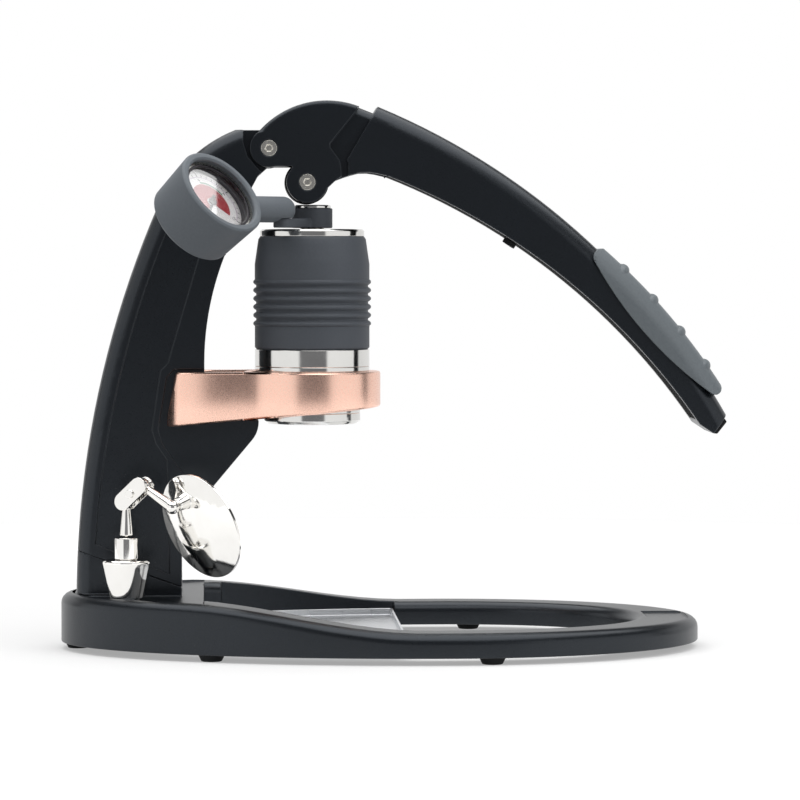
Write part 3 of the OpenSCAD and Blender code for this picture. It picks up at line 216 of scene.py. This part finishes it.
def eased(node, finish, radius, steps=3, broad=0, picked=None):
    """Copies a CAD solid, joins its loose triangles and rounds its edges.

    Edges whose two ends, in mm, are both picked are rounded first, by the broad radius.
    """
    source = frame["nodes"][node]
    body = source["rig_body"]
    bpy.ops.object.select_all(action="DESELECT")
    source.select_set(True)
    bpy.context.view_layer.objects.active = source
    bpy.ops.object.duplicate()
    piece = bpy.context.object
    bpy.ops.object.parent_clear(type="CLEAR")
    piece.name = piece.data.name = node + "_skin"
    del piece["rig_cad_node"], piece["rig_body"]
    bpy.ops.object.mode_set(mode="EDIT")
    bpy.ops.mesh.select_all(action="SELECT")
    bpy.ops.mesh.remove_doubles(threshold=weld * mm)
    bpy.ops.mesh.dissolve_limited(angle_limit=math.radians(flat_angle))
    bpy.ops.mesh.customdata_custom_splitnormals_clear()
    bpy.ops.mesh.select_mode(type="EDGE")
    bpy.ops.mesh.select_all(action="DESELECT")
    bpy.ops.object.mode_set(mode="OBJECT")
    if broad:
        corners = piece.data.vertices
        for line in piece.data.edges:
            line.select = all(picked(corners[i].co / mm) for i in line.vertices)
        bpy.ops.object.mode_set(mode="EDIT")
        bpy.ops.mesh.bevel(offset=broad * mm, segments=broad_steps, affect="EDGES",
                           loop_slide=False)
        bpy.ops.mesh.region_to_loop()
        bpy.ops.mesh.mark_sharp()
        bpy.ops.mesh.select_all(action="DESELECT")
        bpy.ops.object.mode_set(mode="OBJECT")
    edge = piece.modifiers.new("edge", "BEVEL")
    edge.width, edge.segments = radius * mm, steps
    edge.limit_method, edge.angle_limit = "ANGLE", math.radians(crease_angle)
    edge.use_clamp_overlap = False
    edge.miter_outer = "MITER_SHARP" if broad else "MITER_ARC"
    bpy.ops.object.modifier_apply(modifier=edge.name)
    bpy.ops.object.shade_smooth_by_angle(angle=math.radians(crease_angle))
    flats = piece.modifiers.new("flats", "WEIGHTED_NORMAL")
    flats.keep_sharp = True
    bpy.ops.object.modifier_apply(modifier=flats.name)
    piece.data.materials.clear()
    piece.data.materials.append(finish)
    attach(piece, body)
    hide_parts(node)


# Baked powder has a satin gloss, a faint cloudiness and an even grain, drawn coarse enough to show
powder_coat, tree, shader, place = start_finish("baked_powder_coat_on_cast_iron")
grain = add(tree, "TexNoise", {"Vector": place, "Scale": 1 / (coat_grain * mm), "Detail": 2.0})
cloud = add(tree, "TexNoise", {"Vector": place, "Scale": 1 / (coat_cloud * mm), "Detail": 3.0})
dark, light = (tint(code) for code in coat_colours)
blend = add(tree, "Mix", {0: (cloud, 0), 6: dark, 7: light}, data_type="RGBA")
rough = add(tree, "MapRange", {0: (grain, 0), 1: noise_middle[0], 2: noise_middle[1],
                               3: coat_gloss[0], 4: coat_gloss[1]})
bump = add(tree, "Bump", {"Height": (grain, 0), "Strength": coat_relief,
                          "Distance": coat_depth * mm})
fill(shader, {"Base Color": (blend, 2), "Roughness": (rough, 0), "Normal": (bump, 0),
              "Specular IOR Level": coat_shine, "Specular Tint": tint(coat_shine_tint)})
eased("base_frame", powder_coat, radius=0.7)


# Feet: five moulded rubber buttons, pushed into blind holes under the loop. They keep the press
# from sliding on the table.
def clouded(name, colours, patch, detail, gloss, span=(0, 1), relief=0, depth=0, **values):
    """A finish whose colour and gloss drift together, in patches of one size in mm.

    The relief is the strength of a bump whose depth is in mm; the values are for named sockets,
    with a low line for each blank.
    """
    finish, tree, shader, place = start_finish(name)
    drift = add(tree, "TexNoise", {"Vector": place, "Scale": 1 / (patch * mm), "Detail": detail})
    dark, light = (tint(code) for code in colours)
    blend = add(tree, "Mix", {0: (drift, 0), 6: dark, 7: light}, data_type="RGBA")
    rough = add(tree, "MapRange", {0: (drift, 0), 1: span[0], 2: span[1],
                                   3: gloss[0], 4: gloss[1]})
    fill(shader, {"Base Color": (blend, 2), "Roughness": (rough, 0)})
    fill(shader, {socket.replace("_", " "): value for socket, value in values.items()})
    if relief:
        bump = add(tree, "Bump", {"Height": (drift, 0), "Strength": relief,
                                  "Distance": depth * mm})
        fill(shader, {"Normal": (bump, 0)})
    return finish


def dull_black(name):
    """Rubber, plastic or lacquer that is dull and nearly black, with a faint dust on it."""
    return clouded(name, ("#121314", "#202224"), patch=2.5, detail=4, gloss=(0.6, 0.85),
                   relief=0.15, depth=0.05, Specular_IOR_Level=0.25)


rubber = dull_black("moulded_black_rubber")
eased("base_feet", rubber, radius=0.4)

# Drip tray: one shallow pressing of thin stainless sheet, brushed from front to rear and dropped
# loose on the loop's ledge.
tray_colours, tray_gloss = ("#dfe1e4", "#eef0f2"), (0.26, 0.38)
stroke_length, stroke_shape = 12, [1, 40, 1]
# Brushing leaves long fine strokes, which blur what the sheet mirrors
brushed, tree, shader, place = start_finish("brushed_stainless_sheet")
lines = add(tree, "Mapping", {0: place, "Scale": stroke_shape})
strokes = add(tree, "TexNoise", {"Vector": (lines, 0), "Scale": 1 / (stroke_length * mm),
                                 "Detail": 4.0})
dark, light = (tint(code) for code in tray_colours)
blend = add(tree, "Mix", {0: (strokes, 0), 6: dark, 7: light}, data_type="RGBA")
rough = add(tree, "MapRange", {0: (strokes, 0), 1: noise_middle[0], 2: noise_middle[1],
                               3: tray_gloss[0], 4: tray_gloss[1]})
fill(shader, {"Base Color": (blend, 2), "Roughness": (rough, 0), "Metallic": 1.0})
eased("drip_tray", brushed, radius=0.3)


# Post: a curved hollow-backed casting on a slanted joint over the base's foot, held down by a
# stud and a hand nut under the base; its pivot runs in a bronze bush.
def dressed(node, finish):
    """Gives a CAD node that stays in view its finish."""
    for held in frame["nodes"][node].material_slots:
        held.material = finish


# Turning leaves fine marks that spread the light; sintered bronze is duller and full of pores
satin = clouded("turned_stainless_steel", ("#b9b8b3", "#d0cfca"), patch=0.6, detail=3,
                gloss=(0.22, 0.34), span=noise_middle, relief=0.1, depth=0.02, Metallic=1.0)
bronze = clouded("sintered_bronze", ("#8f6b3c", "#b58d57"), patch=0.4, detail=2,
                 gloss=(0.35, 0.5), Metallic=1.0)
nylon = dull_black("moulded_black_nylon")
eased("post", powder_coat, radius=0.45)
dressed("post_stud", satin)
eased("post_hand_nut", nylon, radius=0.5)
dressed("pivot_bush", bronze)

# Lever: a forked head and a long channel-shaped handle, both cast and powder coated. A painted
# strip closes the channel inside; a rubber bumper and a nylon cap are pushed on at the tip.
head_centre, head_radius, head_side = (-34.87, 230.45), 45.4, 18
head_slack = 0.1


def on_head_rim(spot):
    """True on the two outer edges of the head's round top."""
    away = math.hypot(spot.x - head_centre[0], spot.z - head_centre[1])
    return abs(away - head_radius) < head_slack and abs(abs(spot.y) - head_side) < head_slack / 2


eased("lever_head", powder_coat, radius=0.5, broad=2.2, picked=on_head_rim)
eased("lever_handle", powder_coat, radius=0.5)
# Matt paint has hardly any shine, so the channel looks deep
paint = clouded("matt_black_paint_on_steel", ("#0b0c0d", "#131415"), patch=0.8, detail=3,
                gloss=(0.8, 0.95), Specular_IOR_Level=0.08)
eased("lever_cover", paint, radius=0.7)
eased("lever_bumper", rubber, radius=0.4)
eased("lever_end_cap", nylon, radius=0.5)


# Grip: a saddle of moulded silicone with four finger ridges, stretched over the outer half of
# the handle.
def silicone(name, colours, gloss=(0.5, 0.66)):
    """Moulded silicone: dull and soft to the eye, with a faint bloom."""
    return clouded(name, colours, patch=1.2, detail=3, gloss=gloss, relief=0.12, depth=0.05,
                   Specular_IOR_Level=0.35)


silicone_grip = silicone("moulded_grey_silicone", ("#595f63", "#666c70"), gloss=(0.36, 0.48))
eased("lever_grip", silicone_grip, radius=0.3)

# Pins: two turned steel barrels with flat hexagon-socket heads, each held by a screw from behind,
# and the nylon roller that presses on the plunger. Grinding gives the steel a pale, even sheen.
ground = clouded("ground_stainless_steel", ("#e2dfd6", "#f0ede5"), patch=2, detail=3,
                 gloss=(0.2, 0.28), span=noise_middle, Metallic=1.0)
for node in ("pivot_pin", "pivot_screw", "press_pin", "press_screw"):
    eased(node, ground, radius=0.35)
eased("press_roller", nylon, radius=0.5)

# Ring: a machined aluminium fork, bead blasted and anodised to a copper colour. Its two arms
# slide over the post's web from the front.
copper_colours, copper_gloss = ("#fac6b0", "#ffdac9"), (0.23, 0.33)
copper_grain, copper_relief, copper_depth = 0.35, 0.1, 0.02
ring_middle, ring_crown = 130, 0.007
arm_turn, arm_crown = -82, 0.0075
# Blasting gives a soft satin sheen and a fine grain, drawn coarse enough to show
copper, tree, shader, place = start_finish("satin_copper_anodised_aluminium")
blast = add(tree, "TexNoise", {"Vector": place, "Scale": 1 / (copper_grain * mm), "Detail": 2.0})
dark, light = (tint(code) for code in copper_colours)
blend = add(tree, "Mix", {0: (blast, 0), 6: dark, 7: light}, data_type="RGBA")
rough = add(tree, "MapRange", {0: (blast, 0), 1: noise_middle[0], 2: noise_middle[1],
                               3: copper_gloss[0], 4: copper_gloss[1]})
# In shading only, the walls are softly crowned, so they mirror the room above and the table below
spot = add(tree, "SeparateXYZ", {0: place})
rise = add(tree, "Math", {0: (spot, "Z"), 1: ring_middle * mm}, operation="SUBTRACT")
square = add(tree, "Math", {0: (rise, 0), 1: 2.0}, operation="POWER")
upright = add(tree, "Math", {0: (square, 0), 1: -ring_crown / mm}, operation="MULTIPLY")
past = add(tree, "Math", {0: arm_turn * mm, 1: (spot, "X")}, operation="SUBTRACT")
kept = add(tree, "Math", {0: (past, 0), 1: 0.0}, operation="MAXIMUM")
square = add(tree, "Math", {0: (kept, 0), 1: 2.0}, operation="POWER")
along = add(tree, "Math", {0: (square, 0), 1: -arm_crown / mm}, operation="MULTIPLY")
fall = add(tree, "Math", {0: (upright, 0), 1: (along, 0)}, operation="ADD")
crown = add(tree, "Bump", {"Height": (fall, 0), "Strength": 1.0, "Distance": 1.0})
bump = add(tree, "Bump", {"Height": (blast, 0), "Strength": copper_relief,
                          "Distance": copper_depth * mm, "Normal": (crown, 0)})
fill(shader, {"Base Color": (blend, 2), "Roughness": (rough, 0), "Normal": (bump, 0),
              "Metallic": 1.0})
eased("filter_ring", copper, radius=1.2, steps=4)

# Portafilter: a turned stainless cup with a flange that hangs in the ring, its screwed cap with
# the spout, and a screen on each side of the coffee. Polished steel mirrors the room with a
# slight haze.
polish = clouded("polished_stainless_steel", ("#d9d8d5", "#e6e5e2"), patch=9, detail=5,
                 gloss=(0.07, 0.14), span=noise_middle, Metallic=1.0)
for node in ("portafilter", "portafilter_cap"):
    eased(node, polish, radius=0.4)
for node in ("basket_screen", "dispersion_screen"):
    dressed(node, satin)

# Brew cylinder: a turned and polished steel tube that stands on the flange over a rubber seal, in
# a ribbed silicone sleeve that guards the hand.
eased("brew_cylinder", polish, radius=0.3)
slate_silicone = silicone("moulded_slate_silicone", ("#44484e", "#4d5157"))
eased("cylinder_sleeve", slate_silicone, radius=0.2)
dressed("cylinder_seal", rubber)

# Plunger: a turned piston with two ring seals on a stem, with a steel cap under the roller and a
# moulded collar that carries the gauge.
dressed("piston", satin)
dressed("piston_seals", rubber)
dressed("plunger_stem", satin)
eased("stem_cap", polish, radius=0.2)
eased("stem_collar", slate_silicone, radius=0.6)

# Gauge: a bent-tube pressure gauge in a silicone boot on a moulded arm. Its enamelled plate is
# screen printed, and a clear moulded lens is held over it by a snap ring.
dial_top, print_t = 3.6, 0.06
dial_start, dial_sweep = 315, 270
band_steps = 48
red_field, green_band, scale_line = (2.6, 11.2), (11.6, 12.5), (15.3, 15.7)
green_from, green_to = 0.5, 0.75
tick_ring, tick_gaps = 15.8, 24
long_tick, short_tick = (2.2, 0.45), (1.4, 0.25)
numerals, numeral_ring, numeral_height = ("0", "3", "6", "9", "12"), 13.8, 2.6
numeral_gaps = len(numerals) - 1
# Painted light: the sleeve's slate silicone drawn lighter, as the boot faces up into the overhead
# box
boot_silicone_painted_light = silicone("moulded_slate_silicone_painted_light", ("#5a5f64", "#646a70"))
eased("gauge_arm", boot_silicone_painted_light, radius=0.5)
eased("gauge_boot", boot_silicone_painted_light, radius=0.3)
dressed("gauge_case", satin)
dressed("gauge_socket", bronze)
dressed("gauge_movement", bronze)


def printed(name, colours, patch=1.0):
    """A thin flat colour with a faint unevenness: enamel, or ink pressed through a screen."""
    return clouded(name, colours, patch=patch, detail=3, gloss=(0.35, 0.5))


dressed("gauge_dial", printed("white_enamel_on_steel", ("#eceaea", "#f6f4f4"), patch=1.5))
dressed("gauge_needle", dull_black("black_lacquer_on_steel"))
# Blackened steel keeps a metal's shine under a dark oxide
blued = clouded("blackened_steel", ("#39373a", "#4a484b"), patch=1.5, detail=3,
                gloss=(0.3, 0.45), Metallic=1.0)
eased("gauge_bezel", blued, radius=0.2)

needle = next(joint for joint in frame["joints"] if joint["name"] == "needle_turn")
dial_z = -Vector(needle["axis"])
dial_y = Vector((0, 0, 1)).cross(dial_z).normalized()
dial_frame = Matrix((dial_y.cross(dial_z), dial_y, dial_z)).transposed().to_4x4()
dial_frame.translation = Vector(needle["pos_m"])


def dial_spot(radius, share):
    """The angle and place of a print at a radius and a share of the needle's sweep."""
    angle = math.radians(dial_start - dial_sweep * share)
    away = radius * mm
    return angle, (away * math.cos(angle), away * math.sin(angle), (dial_top + print_t / 2) * mm)


def on_dial(piece, name, finish):
    """Moves a print drawn about the origin onto the dial and gives it its ink."""
    bpy.ops.object.transform_apply(location=True, rotation=True, scale=True)
    piece.matrix_world = dial_frame
    bpy.ops.object.transform_apply(location=True, rotation=True, scale=True)
    piece.name = piece.data.name = name
    piece.data.materials.clear()
    piece.data.materials.append(finish)
    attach(piece, "gauge")


def dial_band(name, radii, first, last, finish):
    """A printed arc between two radii, from one share of the needle's sweep to another."""
    inner, outer = radii
    angle, middle = dial_spot((inner + outer) / 2, first)
    bpy.ops.object.select_all(action="DESELECT")
    bpy.ops.mesh.primitive_plane_add(size=1, rotation=(math.pi / 2, 0, angle), location=middle)
    band = bpy.context.object
    band.scale = ((outer - inner) * mm, print_t * mm, 1)
    bpy.ops.object.transform_apply(location=True, rotation=True, scale=True)
    bpy.ops.object.mode_set(mode="EDIT")
    bpy.ops.mesh.select_all(action="SELECT")
    bpy.ops.mesh.spin(steps=band_steps, angle=math.radians(dial_sweep * (last - first)),
                      center=(0, 0, 0), axis=(0, 0, 1))
    bpy.ops.mesh.select_all(action="SELECT")
    bpy.ops.mesh.normals_make_consistent(inside=False)
    bpy.ops.object.mode_set(mode="OBJECT")
    on_dial(band, name, finish)


red_ink = printed("screen_printed_red_ink", ("#98121f", "#b01b2a"))
green_ink = printed("screen_printed_green_ink", ("#3f7d5f", "#4f9070"))
violet_ink = printed("screen_printed_violet_ink", ("#b7a4b8", "#c6b5c7"))
black_ink = printed("screen_printed_black_ink", ("#1a1a1c", "#262628"))
dial_band("dial_red_field", red_field, 0, 1, red_ink)
dial_band("dial_green_band", green_band, green_from, green_to, green_ink)
dial_band("dial_scale_line", scale_line, 0, 1, violet_ink)
bpy.ops.object.select_all(action="DESELECT")
marks = []
for k in range(tick_gaps + 1):
    at_numeral = k * numeral_gaps % tick_gaps == 0
    long, wide = long_tick if at_numeral else short_tick
    angle, middle = dial_spot(tick_ring + long / 2, k / tick_gaps)
    bpy.ops.mesh.primitive_cube_add(size=1, rotation=(0, 0, angle), location=middle,
                                    scale=(long * mm, wide * mm, print_t * mm))
    marks.append(bpy.context.object)
for k, digits in enumerate(numerals):
    angle, middle = dial_spot(numeral_ring, k / numeral_gaps)
    bpy.ops.object.text_add(rotation=(0, 0, math.pi / 2), location=middle)
    label = bpy.context.object
    label.data.body, label.data.size = digits, numeral_height * mm
    label.data.align_x = label.data.align_y = "CENTER"
    label.data.extrude = print_t / 2 * mm
    bpy.ops.object.convert(target="MESH")
    marks.append(bpy.context.object)
bpy.ops.object.select_all(action="DESELECT")
for mark in marks:
    mark.select_set(True)
bpy.context.view_layer.objects.active = marks[0]
bpy.ops.object.join()
on_dial(bpy.context.object, "dial_scale_print", black_ink)

lens_smear, lens_gloss, acrylic_ior = 6, (0.0, 0.03), 1.49
hard_coat = {"Coat Weight": 1.0, "Coat Roughness": 0.02, "Coat IOR": 1.7}
# Acrylic is clear and smooth, and its hard coat mirrors the overhead box as a veil over the dial
glass, tree, shader, place = start_finish("clear_moulded_acrylic")
smear = add(tree, "TexNoise", {"Vector": place, "Scale": 1 / (lens_smear * mm), "Detail": 2.0})
rough = add(tree, "MapRange", {0: (smear, 0), 3: lens_gloss[0], 4: lens_gloss[1]})
fill(shader, {"Roughness": (rough, 0), "Transmission Weight": 1.0, "IOR": acrylic_ior})
fill(shader, hard_coat)
# Light for the dial passes the lens straight, as it does through a thin clear sheet
path = add(tree, "LightPath")
lit = add(tree, "Math", {0: (path, "Is Shadow Ray"), 1: (path, "Is Diffuse Ray")},
          operation="MAXIMUM")
clear = add(tree, "BsdfTransparent")
both = add(tree, "MixShader", {0: (lit, 0), 1: (shader, 0), 2: (clear, 0)})
fill(tree.nodes["Material Output"], {0: (both, 0)})
eased("gauge_lens", glass, radius=0.3)

# Shot mirror: turned and chromed brass pieces on a magnet foot, with two clamped ball joints. The
# mirror's glass sits in a shell of spun brass.
shell_lean = [-0.02, 0.114, -0.22]


def mirror_bright(name, gloss=(0.03, 0.08)):
    """Chrome or silver: a sharp mirror that is nearly white, with a slight haze."""
    return clouded(name, ("#f0eeea", "#f9f8f5"), patch=7, detail=5, gloss=gloss,
                   span=noise_middle, Metallic=1.0)


chrome = mirror_bright("chrome_plate_on_brass")
silvered = mirror_bright("silvered_glass")
spun = mirror_bright("chrome_plate_on_spun_brass", gloss=(0.05, 0.1))
# In shading only, the shell's back leans up and out, so it mirrors the bright room over the base
tree = spun.node_tree
place = (tree.nodes["Texture Coordinate"], "Object")
lean = add(tree, "VectorMath", {0: place, 1: shell_lean}, operation="DOT_PRODUCT")
bump = add(tree, "Bump", {"Height": (lean, 1), "Strength": 1.0, "Distance": 1.0})
fill(tree.nodes["Principled BSDF"], {"Normal": (bump, 0)})
for node in ("mirror_foot", "mirror_nut", "mirror_stem", "mirror_link_plates",
             "mirror_link_screw", "mirror_rod"):
    eased(node, chrome, radius=0.35)
eased("mirror_shell", spun, radius=0.35)
dressed("mirror_magnet", satin)
eased("mirror_glass", silvered, radius=0.2)
